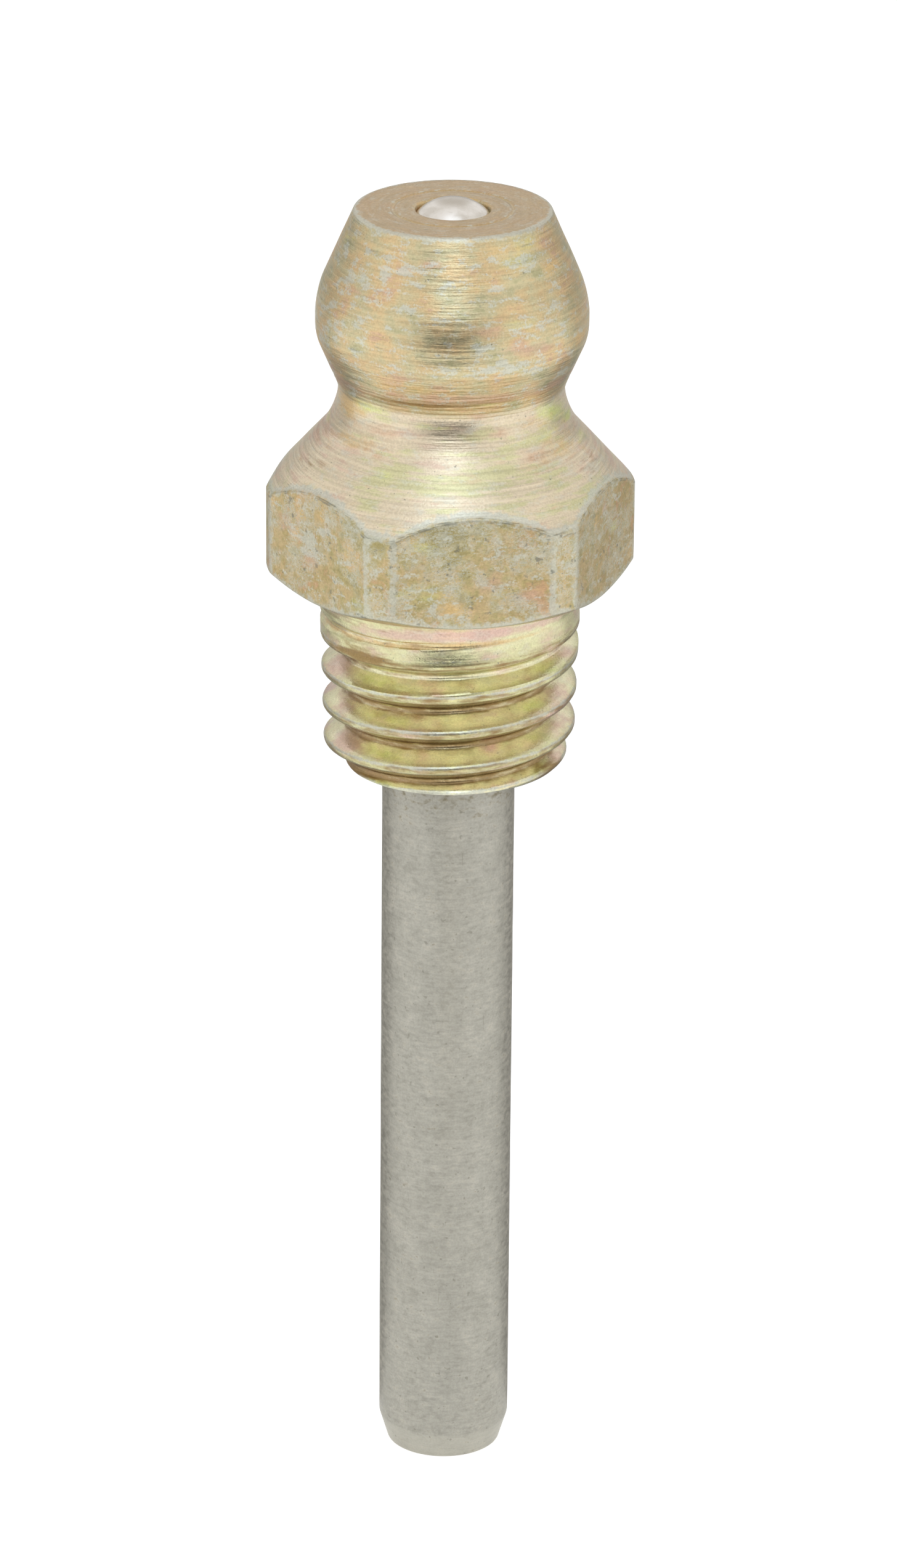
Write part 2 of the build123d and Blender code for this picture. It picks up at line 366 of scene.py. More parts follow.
def hexagon_radius(angle):
    """How far out the hexagon's wall is at an angle, with its corners turned down."""
    from_flat = (angle + pi / 2 + pi / 6) % (pi / 3) - pi / 6
    return soft_min(HEX_APOTHEM / cos(from_flat), HEX_CORNER_RADIUS, 0.03)


def body_blank(bm):
    """The turned body above the thread, with its rows drawn in to the hexagon's flats."""
    outline = body_outline()
    outline_wire(bm, outline)
    wall_bottom, wall_top = outline[3][1], outline[4][1]
    spin_round(bm, COLUMNS)
    layers = finish_layers(bm)
    slope_below, slope_above = tan(HEX_UNDERSIDE_RISE), 1 / tan(BASE_CONE)
    for vert in bm.verts:
        radius, height = hypot(vert.co.x, vert.co.y), vert.co.z
        angle = atan2(vert.co.y, vert.co.x)
        inward = hexagon_radius(angle) - HEX_CORNER_RADIUS
        moved = radius, height
        if radius > HEX_BLEND_TOP - 1e-6 and height > -1e-6:
            if height < wall_bottom - HEX_EDGE / 2:
                share = ramp(radius, HEX_UNDERSIDE_RADIUS, HEX_CORNER_RADIUS - HEX_EDGE)
                moved = radius + share * inward, height + share * inward * slope_below
            elif height < wall_top + HEX_EDGE / 2:
                share = ramp(height, wall_bottom + HEX_EDGE, wall_top - HEX_EDGE)
                rise = inward * (slope_below * (1 - share) - slope_above * share)
                moved = radius + inward, height + rise
                vert[layers["run"]] += rise
                vert[layers["flat"]] = 1
            else:
                share = ramp(radius, HEX_BLEND_TOP, HEX_CORNER_RADIUS - HEX_EDGE)
                moved = radius + share * inward, height - share * inward * slope_above
                vert[layers["run"]] -= share * inward / sin(BASE_CONE)
        top_edge = HEX_CORNER_RADIUS + inward, wall_top - inward * slope_above
        bottom_edge = HEX_CORNER_RADIUS + inward, wall_bottom + inward * slope_below
        above_edge = hypot(moved[0] - top_edge[0], moved[1] - top_edge[1])
        if vert[layers["flat"]]:
            above_edge = -above_edge
        vert[layers["line"]] = near(above_edge, -0.03, 0.03)
        # painted shade in the corner under the hexagon, laid into the same layer as the grime
        vert[layers["dirt_and_painted_shade"]] = 0.7 * near(hypot(radius - SHANK_RADIUS, height), 0, 0.14)
        vert[layers["wear"]] = max(
            near(above_edge, 0.10, 0.17),
            0.9 * near(hypot(moved[0] - bottom_edge[0], moved[1] - bottom_edge[1]), 0, 0.17),
            1.1 * near(hypot(radius - HEAD_FACE_RADIUS, height - HEAD_TOP), 0, 0.09),
            0.5 * near(abs(radius - CRIMP_RING_RADIUS), CRIMP_RING_WIDTH / 2, 0.04)
            * ramp(height, HEAD_TOP - 0.1, HEAD_TOP - 0.05),
            0.9 * vert[layers["flat"]] * near(moved[0] * corner_turn(angle), 0, 0.14),
        )
        vert[layers["golden"]] = 0.55 * near(hypot(radius - INLET_RADIUS, height - HEAD_TOP), 0, 0.07)
        uneven = 0.006 * noise.noise(1.3 * vert.co)
        if radius > CHAMBER_RADIUS + 0.2 and NECK_TOP_ROW > height > wall_top:
            vert[layers["cone"]] = ramp(height, NECK_TOP_ROW, NECK_TOP_ROW - 0.2)
        for groove, depth, width in NECK_GROOVES:
            if radius > NECK_RADIUS - 0.2:
                cut = near(height, groove + 0.012 * noise.noise(vert.co), width)
                cut *= 0.65 + 0.7 * noise.noise(0.8 * vert.co + Vector((0, 0, groove)))
                uneven -= depth * cut
                vert[layers["dirt_and_painted_shade"]] = max(vert[layers["dirt_and_painted_shade"]], 40 * depth * cut)
        scale = (moved[0] + uneven) / radius
        vert.co = vert.co.x * scale, vert.co.y * scale, moved[1]
    paint_patches(bm, layers)


def all_patches():
    """The listed patches, those on every turn of the thread, and the scattered ones."""
    draw = Random(SCATTER_SEED)
    patches = list(PATCHES)
    for groove in range(-3, 2):
        for layer, turn, above_root, half_width, half_height, strength in THREAD_PATCHES:
            turn += draw.uniform(-8, 8)
            turns_up = groove + (degrees(MARKED_SIDE) + turn) / 360
            height = THREAD_ROOT_HEIGHT + turns_up * THREAD_PITCH + above_root
            strength *= draw.uniform(0.7, 1.2)
            patches.append((layer, turn, height, half_width, half_height, strength))
    for layer, count, low, high, half_width, half_height, strength in SCATTERED_PATCHES:
        for _ in range(count):
            turn, height, size = draw.uniform(-180, 180), draw.uniform(low, high), draw.uniform(0.6, 1.4)
            patches.append((layer, turn, height, size * half_width, size * half_height, strength))
    return patches


def paint_patches(bm, layers):
    """Paints the patches of colour onto their layers."""
    sorted_verts = sorted(bm.verts, key=lambda vert: vert.co.z)
    heights = [vert.co.z for vert in sorted_verts]
    for name, turn, height, half_width, half_height, strength in all_patches():
        centre = MARKED_SIDE + radians(turn)
        start = bisect_left(heights, height - 2 * half_height)
        end = bisect_left(heights, height + 2 * half_height)
        for vert in sorted_verts[start:end]:
            radius = hypot(vert.co.x, vert.co.y)
            off = (atan2(vert.co.x, -vert.co.y) - centre + pi) % (2 * pi) - pi
            if radius < HEAD_FACE_RADIUS - 0.05 or abs(off) * radius > 2 * half_width:
                continue
            amount = near(off * radius, 0, half_width) * near(vert.co.z, height, half_height)
            vert[layers[name]] += strength * amount


def corner_turn(angle):
    """How far an angle is from the nearest line where a flat meets a turned-down corner."""
    from_flat = (angle + pi / 2 + pi / 6) % (pi / 3) - pi / 6
    return abs(abs(from_flat) - acos(HEX_APOTHEM / HEX_CORNER_RADIUS))


def groove_halves():
    """Half the groove's width at its root and at its mouth."""
    half_root = THREAD_ROOT_WIDTH / 2
    return half_root, half_root + THREAD_DEPTH * tan(THREAD_FLANK)


def thread_outline(lowest, grooves):
    """The thread's section from its lowest root up: (radius, height, round, row) corners."""
    half_root, half_mouth = groove_halves()
    root_radius = SHANK_RADIUS - THREAD_DEPTH
    outline = [(SHANK_RADIUS, lowest - THREAD_PITCH / 2, 0, THREAD_ROW)]
    for groove in range(grooves):
        root = lowest + groove * THREAD_PITCH
        outline += [
            (SHANK_RADIUS, root - half_mouth, THREAD_CREST_ROUND, THREAD_ROW),
            (root_radius, root - half_root, THREAD_ROOT_ROUND, THREAD_ROW),
            (root_radius, root + half_root, THREAD_ROOT_ROUND, THREAD_ROW),
            (SHANK_RADIUS, root + half_mouth, THREAD_CREST_ROUND, THREAD_ROW),
        ]
    return outline + [(SHANK_RADIUS, root + THREAD_PITCH / 2, 0, THREAD_ROW)]


def thread_band(bm):
    """The threaded length of the shank: its section carried up one pitch as it goes round."""
    turns_below, turns_above = 3, 3
    lowest = THREAD_ROOT_HEIGHT - turns_below * THREAD_PITCH
    outline_wire(bm, thread_outline(lowest, turns_below + turns_above + 1))
    offset_of = bm.verts.layers.float.new("offset")
    half_pitch = THREAD_PITCH / 2
    half_root, half_mouth = groove_halves()
    for vert in bm.verts:
        vert[offset_of] = (vert.co.z - lowest + half_pitch) % THREAD_PITCH - half_pitch
    bmesh.ops.rotate(
        bm, verts=bm.verts[:], cent=(0, 0, 0), matrix=Matrix.Rotation(-pi / 2, 3, "Z")
    )
    spin_round(bm, THREAD_COLUMNS, THREAD_PITCH)
    bmesh.ops.remove_doubles(bm, verts=bm.verts[:], dist=1e-4)
    layers = finish_layers(bm)
    rise = THREAD_DEPTH + 0.05
    for vert in bm.verts:
        radius, height = hypot(vert.co.x, vert.co.y), vert.co.z
        offset = vert[offset_of]
        turn = (height - offset - THREAD_ROOT_HEIGHT) / THREAD_PITCH
        run_on = ramp(turn, THREAD_FULL_TURNS, THREAD_FULL_TURNS + THREAD_RUNOUT_TURNS)
        runout = rise * (1 - (1 - run_on) ** THREAD_RUNOUT_CURVE)
        dip = near(offset, 0, 0.45) * ramp(turn, 1.7, 1.95) * ramp(turn, 2.3, 2.1)
        depth = max(0, SHANK_RADIUS - radius - runout) + 0.08 * dip
        crest = SHANK_RADIUS + height * SHANK_TAPER
        end_chamfer = SHANK_END_RADIUS + height - SHANK_END
        vert[layers["run"]] = height
        vert[layers["rolled"]] = 1
        # Browned: painted shade on the flank under each crest, grime and painted shade in the roots, and
        # the run-out's lands and the thread's end.
        vert[layers["dirt_and_painted_shade"]] = max(
            0.9 * ramp(depth, 0.42, 0.50),
            0.9 * near(offset, half_mouth - 0.05, 0.06) * ramp(runout, rise, 0.7 * rise),
            0.45 * ramp(offset, 0, half_root) * ramp(depth, 0.03, 0.2),
            0.5 * near(offset, 0, 0.06) * ramp(runout, rise, 0.85 * rise),
            0.65 * ramp(abs(offset), half_mouth - 0.03, half_mouth + 0.03)
            * ramp(runout, rise, 0.7 * rise),
            0.3 * ramp(height, SHANK_END + 0.5, SHANK_END + 0.3),
        )
        gilt = 0.7 * near(offset, -0.04, 0.06)
        vert[layers["golden"]] = gilt * ramp(turn, 2.15, 1.95) * ramp(turn, 1.3, 1.5)
        vert[layers["deep"]] = ramp(depth, 0.0, 0.15)
        vert[layers["wear"]] = max(
            near(offset, -half_mouth - 0.02, 0.045) * ramp(runout, rise, 0.7 * rise),
            near(crest - depth, end_chamfer, 0.10),
            near(height, SHANK_END, 0.06),
        )
        depth += 0.008 * noise.noise(1.1 * vert.co) + 0.004 * noise.noise(5 * vert.co)
        wanted = soft_min(crest - depth, end_chamfer, THREAD_END_ROUND)
        vert.co.x *= wanted / radius
        vert.co.y *= wanted / radius
    paint_patches(bm, layers)
    for height, way in ((SHANK_END, -1), (THREAD_TOP, 1)):
        bmesh.ops.bisect_plane(
            bm, geom=[*bm.verts, *bm.edges, *bm.faces], dist=1e-6,
            plane_co=(0, 0, height), plane_no=(0, 0, way), clear_outer=True,
        )


def rim(bm, height, radius):
    """The open edges that lie at a height, about that far from the axis."""
    return [
        edge for edge in bm.edges
        if edge.is_boundary
        and all(abs(vert.co.z - height) < 1e-3 for vert in edge.verts)
        and all(abs(hypot(vert.co.x, vert.co.y) - radius) < 0.3 for vert in edge.verts)
    ]


def nipple_body():
    """The body as one closed skin: the blank above, the thread below, and the bores."""
    bm = bmesh.new()
    body_blank(bm)
    threaded = bmesh.new()
    thread_band(threaded)
    joined = bpy.data.meshes.new("thread_band")
    threaded.to_mesh(joined)
    threaded.free()
    bm.from_mesh(joined)
    bpy.data.meshes.remove(joined)
    plain_bottom = THREAD_TOP + 0.04
    plain_radius = SHANK_RADIUS + plain_bottom * SHANK_TAPER
    bmesh.ops.bridge_loops(
        bm, edges=[*rim(bm, THREAD_TOP, plain_radius), *rim(bm, plain_bottom, plain_radius)]
    )
    end_face = [*rim(bm, SHANK_END, SHANK_END_RADIUS - 0.1), *rim(bm, SHANK_END, SOCKET_RADIUS)]
    bmesh.ops.triangle_fill(bm, edges=end_face, use_beauty=True, normal=(0, 0, -1))
    return finished(
        bm, "nipple_body_finish", "fitting", "nipple_body", passivated_zinc()
    )


# ---------------------------------------------------------------- tube, ball and spring

def extension_tube():
    """The outlet tube: chamfered end, turned-down top and its bore."""
    bm = bmesh.new()
    chamfer_top = TUBE_END + TUBE_CHAMFER_LENGTH
    outline_wire(bm, [
        (TUBE_BORE_RADIUS, SOCKET_TOP - 0.6, 0, HIDDEN_ROW),
        (TUBE_BORE_RADIUS, SOCKET_TOP, 0.05, 0.2),
        (SOCKET_RADIUS, SOCKET_TOP, 0, HIDDEN_ROW),
        (SOCKET_RADIUS, SHANK_END, 0, 0.2),
        (TUBE_RADIUS, SHANK_END, 0.03, 0.12),
        (TUBE_RADIUS, chamfer_top, 0.35, 0.12),
        (TUBE_END_RADIUS, TUBE_END, 0.07, 0.1),
        (TUBE_BORE_RADIUS, TUBE_END, 0.05, HIDDEN_ROW),
        (TUBE_BORE_RADIUS, SOCKET_TOP - 0.6, 0, HIDDEN_ROW),
    ])
    spin_round(bm, 192)
    bmesh.ops.remove_doubles(bm, verts=bm.verts[:], dist=1e-4)
    layers = finish_layers(bm)
    for vert in bm.verts:
        radius, height = hypot(vert.co.x, vert.co.y), vert.co.z
        vert[layers["wear"]] = ramp(height, chamfer_top, chamfer_top - 0.08)
        # painted shade: darker at the top of the tube, where it goes into the body
        vert[layers["dirt_and_painted_shade"]] = 0.7 * near(height, SHANK_END, 0.9)
        if radius > SOCKET_RADIUS and height > TUBE_END + 0.05:
            scale = 1 + 0.004 * noise.noise(0.7 * vert.co) / radius
            vert.co.x *= scale
            vert.co.y *= scale
    return finished(
        bm, "extension_tube_finish", "fitting", "extension_tube", tube_steel()
    )


def check_ball():
    bm = bmesh.new()
    bmesh.ops.create_icosphere(
        bm, subdivisions=6, radius=BALL_RADIUS, matrix=Matrix.Translation((0, 0, BALL_CENTRE))
    )
    run_of = finish_layers(bm)["run"]
    for vert in bm.verts:
        vert[run_of] = vert.co.z
    return finished(bm, "check_ball_finish", "ball", "check_ball", ball_steel())


def check_spring():
    """Round wire wound up the axis, with both ends ground square."""
    bm = bmesh.new()
    height = SPRING_HIGH.z - SPRING_LOW.z
    pitch = height / SPRING_TURNS
    bmesh.ops.create_circle(
        bm, segments=14, radius=SPRING_WIRE_RADIUS,
        matrix=Matrix.Translation((SPRING_RADIUS, 0, SPRING_LOW.z - pitch / 2))
        @ Matrix.Rotation(pi / 2, 4, "X"),
    )
    turns = SPRING_TURNS + 1
    bmesh.ops.spin(
        bm, geom=[*bm.verts, *bm.edges], cent=(0, 0, 0), axis=(0, 0, 1), angle=2 * pi * turns,
        dvec=(0, 0, pitch / SPRING_COLUMNS), steps=turns * SPRING_COLUMNS, use_merge=False,
    )
    for end, way in ((SPRING_LOW.z, -1), (SPRING_HIGH.z, 1)):
        bmesh.ops.bisect_plane(
            bm, geom=[*bm.verts, *bm.edges, *bm.faces], dist=1e-6,
            plane_co=(0, 0, end), plane_no=(0, 0, way), clear_outer=True,
        )
        bmesh.ops.holes_fill(bm, edges=[edge for edge in bm.edges if edge.is_boundary], sides=0)
    run_of = finish_layers(bm)["run"]
    for vert in bm.verts:
        vert[run_of] = 0.3 * hypot(vert.co.x, vert.co.y)
    spring = finished(
        bm, "check_spring_finish", "fitting", "check_spring", spring_steel()
    )
    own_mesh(spring)
    return spring


# ---------------------------------------------------------------- finishes

def tint(red, green, blue):
    """A colour given as on a screen, 0 to 255, made linear."""
    linear = [
        share / 12.92 if share <= 0.04045 else ((share + 0.055) / 1.055) ** 2.4
        for share in (red / 255, green / 255, blue / 255)
    ]
    return (*linear, 1)


def put(tree, kind, inputs=None, **settings):
    """A shader node, set up, with its inputs given values or joined to other nodes."""
    made = tree.nodes.new(f"ShaderNode{kind}")
    for name, value in settings.items():
        setattr(made, name, value)
    for key, value in (inputs or {}).items():
        if isinstance(value, bpy.types.NodeSocket):
            tree.links.new(value, made.inputs[key])
        else:
            made.inputs[key].default_value = value
    return made


def maths(tree, operation, *values):
    return put(tree, "Math", dict(enumerate(values)), operation=operation).outputs[0]


def step(tree, value, low, high, start=0.0, end=1.0):
    """Goes smoothly from start to end as a value goes from low to high."""
    inputs = dict(enumerate((value, low, high, start, end)))
    return put(tree, "MapRange", inputs, interpolation_type="SMOOTHSTEP").outputs[0]


def layer_over(tree, share, under, over, way="MIX"):
    """One colour laid over another, by a share."""
    return put(
        tree, "Mix", {0: share, 6: under, 7: over}, data_type="RGBA", blend_type=way
    ).outputs[2]


def colour_range(tree, value, *stops):
    made = put(tree, "ValToRGB", {0: value})
    elements = made.color_ramp.elements
    while len(elements) < len(stops):
        elements.new(1)
    for element, (at, colour) in zip(elements, stops):
        element.position, element.color = at, colour
    return made.outputs[0]


def painted(tree, name):
    """A layer that was painted on the mesh."""
    return put(tree, "Attribute", attribute_name=name).outputs["Fac"]


def millimetres(tree):
    coordinates = put(tree, "TexCoord").outputs["Object"]
    return put(tree, "VectorMath", {0: coordinates, "Scale": 1 / MM}, operation="SCALE").outputs[0]


def effect(name, takes, gives):
    """A node group with float inputs, a vector Place and float outputs."""
    tree = bpy.data.node_groups.new(name, "ShaderNodeTree")
    tree.interface.new_socket("Place", in_out="INPUT", socket_type="NodeSocketVector")
    for socket, value in takes.items():
        made = tree.interface.new_socket(socket, in_out="INPUT", socket_type="NodeSocketFloat")
        made.default_value = value
    for socket in gives:
        tree.interface.new_socket(socket, in_out="OUTPUT", socket_type="NodeSocketFloat")
    return tree, tree.nodes.new("NodeGroupInput").outputs, tree.nodes.new("NodeGroupOutput").inputs


def streaks_effect():
    """Noise drawn out round the part: Round long round the axis, Tall along the section."""
    tree, given, result = effect(
        "streaks", {"Run": 0.0, "Round": 1.0, "Tall": 0.2, "Seed": 0.0, "Detail": 2.0}, ["Value"]
    )
    axes = put(tree, "SeparateXYZ", {0: given["Place"]}).outputs
    across = [
        maths(tree, "ADD", maths(tree, "DIVIDE", axis, given["Round"]), given["Seed"])
        for axis in (axes[0], axes[1])
    ]
    along = maths(tree, "DIVIDE", given["Run"], given["Tall"])
    place = put(tree, "CombineXYZ", {0: across[0], 1: across[1], 2: along}).outputs[0]
    noisy = put(tree, "TexNoise", {
        "Vector": place, "Scale": 1.0, "Detail": given["Detail"], "Roughness": 0.55,
    })
    tree.links.new(noisy.outputs["Fac"], result["Value"])
    return tree


def mottle_effect():
    """Noise of the same size every way."""
    tree, given, result = effect("mottle", {"Size": 0.2, "Seed": 0.0, "Detail": 2.0}, ["Value"])
    shift = put(tree, "CombineXYZ", {0: given["Seed"], 1: given["Seed"], 2: given["Seed"]})
    place = put(
        tree, "VectorMath", {0: given["Place"], 1: shift.outputs[0]}, operation="ADD"
    ).outputs[0]
    noisy = put(tree, "TexNoise", {
        "Vector": place, "Scale": maths(tree, "DIVIDE", 1.0, given["Size"]),
        "Detail": given["Detail"], "Roughness": 0.6,
    })
    tree.links.new(noisy.outputs["Fac"], result["Value"])
    return tree


def wear_effect():
    """Where an edge is rubbed bright: its painted wear, broken up by noise."""
    tree, given, result = effect(
        "edge_wear", {"Wear": 0.0, "Size": 0.15, "Breakup": 0.6}, ["Mask"]
    )
    noisy = put(tree, "TexNoise", {
        "Vector": given["Place"], "Scale": maths(tree, "DIVIDE", 1.0, given["Size"]),
        "Detail": 3.0, "Roughness": 0.6,
    }).outputs["Fac"]
    centred = maths(tree, "MULTIPLY", maths(tree, "SUBTRACT", noisy, 0.5), given["Breakup"])
    broken = maths(tree, "ADD", given["Wear"], maths(tree, "MULTIPLY", centred, 2.0))
    tree.links.new(step(tree, broken, 0.35, 0.85), result["Mask"])
    return tree


EFFECTS = {"streaks": streaks_effect(), "mottle": mottle_effect(), "wear": wear_effect()}


def use(tree, effect_name, **inputs):
    """Places a shared effect in a material and gives its first output."""
    made = put(tree, "Group", node_tree=EFFECTS[effect_name])
    for name, value in inputs.items():
        socket = made.inputs[name.capitalize()]
        if isinstance(value, bpy.types.NodeSocket):
            tree.links.new(value, socket)
        else:
            socket.default_value = value
    return made.outputs[0]


def bare_metal(name, anisotropy=0.0):
    """A metal material: its tree and its shader."""
    material = bpy.data.materials.new(name)
    material.use_nodes = True
    tree = material.node_tree
    shader = tree.nodes["Principled BSDF"]
    shader.inputs["Metallic"].default_value = 1
    shader.inputs["Anisotropic"].default_value = anisotropy
    return material, tree, shader


def finish_surface(tree, shader, colour, roughness, height):
    """Joins the colour, the roughness, and the height in millimetres to the shader."""
    tree.links.new(colour, shader.inputs["Base Color"])
    tree.links.new(roughness, shader.inputs["Roughness"])
    bump = put(tree, "Bump", {"Height": height, "Strength": 1.0, "Distance": MM})
    tree.links.new(bump.outputs[0], shader.inputs["Normal"])


OLIVE = tint(178, 172, 134)
STRAW = tint(196, 185, 148)
TAN = tint(202, 183, 142)
PEACH = tint(208, 181, 138)
GOLD = tint(214, 184, 132)
ROSE = tint(200, 168, 142)
MAUVE = tint(208, 177, 162)
CREAM = tint(216, 201, 174)
SAGE = tint(204, 198, 156)
BLUSH = tint(214, 190, 168)
LIME = tint(208, 216, 138)
STALE = tint(208, 206, 158)     # the thread's greenish cast
FACE = tint(176, 149, 112)      # the end face round the inlet
WORN = tint(198, 199, 186)
BROWN = tint(142, 114, 72)
DARK = tint(116, 116, 106)


def multiplied(tree, colour, value):
    grey = put(tree, "CombineColor", {0: value, 1: value, 2: value}).outputs[0]
    return layer_over(tree, 1.0, colour, grey, "MULTIPLY")


def added(tree, base, value, weight):
    return maths(tree, "MULTIPLY_ADD", value, weight, base)


def weighed(tree, *parts):
    """The sum of values, each times its weight."""
    total = 0.0
    for value, weight in parts:
        total = added(tree, total, value, weight)
    return total


def without(tree, value, *masks):
    """A value with (mask, share) parts of it taken away."""
    for mask, share in masks:
        value = maths(tree, "MULTIPLY", value, added(tree, 1.0, mask, -share))
    return value


def passivated_zinc():
    """Yellow-passivated zinc over turned and rolled steel."""
    material, tree, shader = bare_metal("passivated_zinc", anisotropy=0.2)
    place, run = millimetres(tree), painted(tree, "run")
    flat, rolled, cone = painted(tree, "flat"), painted(tree, "rolled"), painted(tree, "cone")
    height = put(tree, "SeparateXYZ", {0: place}).outputs[2]
    face = step(tree, height, HEAD_TOP - 0.06, HEAD_TOP - 0.01)

    broad = use(tree, "streaks", place=place, run=run, round=1.3, tall=0.34, seed=3.0, detail=4.0)
    thin = use(tree, "streaks", place=place, run=run, round=0.5, tall=0.10, seed=11.0, detail=4.0)
    lines = use(tree, "streaks", place=place, run=run, round=2.6, tall=0.075, seed=5.0, detail=2.5)
    cloud = use(tree, "mottle", place=place, size=0.9, seed=27.0, detail=3.0)
    spots = use(tree, "mottle", place=place, size=0.32, seed=7.0, detail=5.0)
    haze = use(tree, "mottle", place=place, size=2.4, seed=21.0, detail=1.0)
    grain = use(tree, "mottle", place=place, size=0.05, seed=2.0, detail=2.0)

    head_mix = weighed(tree, (cloud, 0.4), (broad, 0.25), (spots, 0.2), (thin, 0.15))
    head_colour = colour_range(
        tree, head_mix, (0.41, OLIVE), (0.46, STRAW), (0.51, TAN), (0.56, PEACH), (0.61, ROSE)
    )
    cone_mix = weighed(tree, (haze, 0.25), (broad, 0.5), (thin, 0.25))
    cone_colour = colour_range(tree, cone_mix, (0.41, SAGE), (0.47, CREAM), (0.52, CREAM), (0.59, BLUSH))
    thread_mix = weighed(tree, (haze, 0.3), (cloud, 0.3), (broad, 0.4))
    thread_colour = colour_range(
        tree, thread_mix, (0.37, MAUVE), (0.44, STRAW), (0.50, STALE), (0.56, STRAW), (0.63, MAUVE)
    )
    deep_colour = colour_range(  # lighter, because light is reflected more than once
        tree, thread_mix, (0.37, tint(220, 194, 178)), (0.44, tint(228, 218, 180)),
        (0.50, tint(226, 222, 182)), (0.56, tint(230, 220, 184)), (0.63, tint(220, 192, 174)),
    )
    thread_colour = layer_over(tree, painted(tree, "deep"), thread_colour, deep_colour)
    hex_mix = weighed(tree, (haze, 0.25), (cloud, 0.4), (spots, 0.35))
    hex_colour = colour_range(
        tree, hex_mix, (0.40, tint(164, 152, 106)), (0.45, tint(182, 168, 122)),
        (0.50, tint(194, 172, 130)), (0.54, tint(176, 160, 112)), (0.60, tint(196, 162, 124)),
    )
    colour = layer_over(tree, cone, head_colour, cone_colour)
    colour = layer_over(tree, rolled, colour, thread_colour)
    colour = layer_over(tree, flat, colour, hex_colour)
    colour = layer_over(tree, maths(tree, "MULTIPLY", face, 0.8), colour, FACE)
    ragged = added(tree, -0.5, weighed(tree, (thin, 0.5), (spots, 0.5)), 1.0)
    for name, stain_colour, most in (
        ("green", LIME, 0.85), ("golden", GOLD, 0.9), ("rosy", ROSE, 0.85), ("mauve", MAUVE, 0.85),
    ):
        mask = step(tree, added(tree, painted(tree, name), ragged, 1.8), 0.08, 0.85, 0.0, most)
        colour = layer_over(tree, mask, colour, stain_colour)

    # rubbed, veined and speckled places
    warp = put(tree, "CombineXYZ", {0: spots, 1: thin, 2: grain}).outputs[0]
    warp = put(tree, "VectorMath", {0: warp, "Scale": 1.2}, operation="SCALE").outputs[0]
    warped = put(tree, "VectorMath", {0: place, 1: warp}, operation="ADD").outputs[0]
    veins = 0.0
    for cells, width in ((1.5, 0.10), (3.6, 0.14)):
        edge = put(
            tree, "TexVoronoi", {"Vector": warped, "Scale": cells}, feature="DISTANCE_TO_EDGE"
        ).outputs[0]
        veins = maths(tree, "MAXIMUM", veins, step(tree, edge, width, 0.1 * width))
    vein_places = step(tree, use(tree, "mottle", place=place, size=0.8, seed=13.0), 0.42, 0.56)
    veins = maths(tree, "MULTIPLY", veins, vein_places)
    veins = maths(tree, "MULTIPLY", veins, maths(tree, "MULTIPLY", flat, 0.8))
    scuffs = use(tree, "streaks", place=place, run=run, round=0.36, tall=0.18, seed=17.0, detail=6.0)
    scuffed = weighed(tree, (scuffs, 1.0), (grain, 0.35), (painted(tree, "grey"), 0.2))
    flecks = without(tree, step(tree, scuffed, 0.71, 0.85), (rolled, 0.7), (cone, 0.5), (face, 0.6))
    wear = use(tree, "wear", place=place, wear=painted(tree, "wear"), size=0.18, breakup=0.9)
    rubbed = maths(tree, "MAXIMUM", maths(tree, "MAXIMUM", flecks, veins), wear)
    colour = layer_over(tree, maths(tree, "MULTIPLY", rubbed, 0.75), colour, WORN)

    # grime, and painted shade under the hexagon and under the thread's crests, laid on in brown
    dirt_and_painted_shade = step(tree, added(tree, painted(tree, "dirt_and_painted_shade"), added(tree, -0.5, thin, 1.0), 1.2), 0.35, 1.0)
    colour = layer_over(tree, maths(tree, "MULTIPLY", dirt_and_painted_shade, 0.9), colour, BROWN)
    specks = step(tree, use(tree, "mottle", place=place, size=0.10, seed=31.0), 0.69, 0.75)
    bruises = use(tree, "mottle", place=place, size=0.22, seed=43.0, detail=4.0)
    bruises = maths(tree, "MULTIPLY", step(tree, bruises, 0.62, 0.70), flat)
    line = step(tree, added(tree, painted(tree, "line"), added(tree, -0.5, thin, 1.0), 3.0), 0.75, 1.3)
    dark = maths(tree, "MAXIMUM", maths(tree, "MAXIMUM", specks, bruises), line)
    colour = layer_over(tree, maths(tree, "MULTIPLY", dark, 0.6), colour, DARK)
    tool_marks = use(tree, "streaks", place=place, run=run, round=0.55, tall=0.045, seed=37.0, detail=3.0)
    tool_marks = without(
        tree, step(tree, tool_marks, 0.60, 0.72), (flat, 1.0), (rolled, 0.8), (cone, 0.5), (face, 0.7)
    )
    colour = layer_over(tree, maths(tree, "MULTIPLY", tool_marks, 0.3), colour, DARK)
    soft_lines = without(tree, added(tree, -0.5, lines, 1.0), (flat, 1.0), (rolled, 0.7), (face, 0.6))
    fine = added(tree, maths(tree, "MULTIPLY", soft_lines, 0.55), grain, 0.55)
    colour = multiplied(tree, colour, step(tree, fine, 0.12, 0.42, 0.84, 1.06))

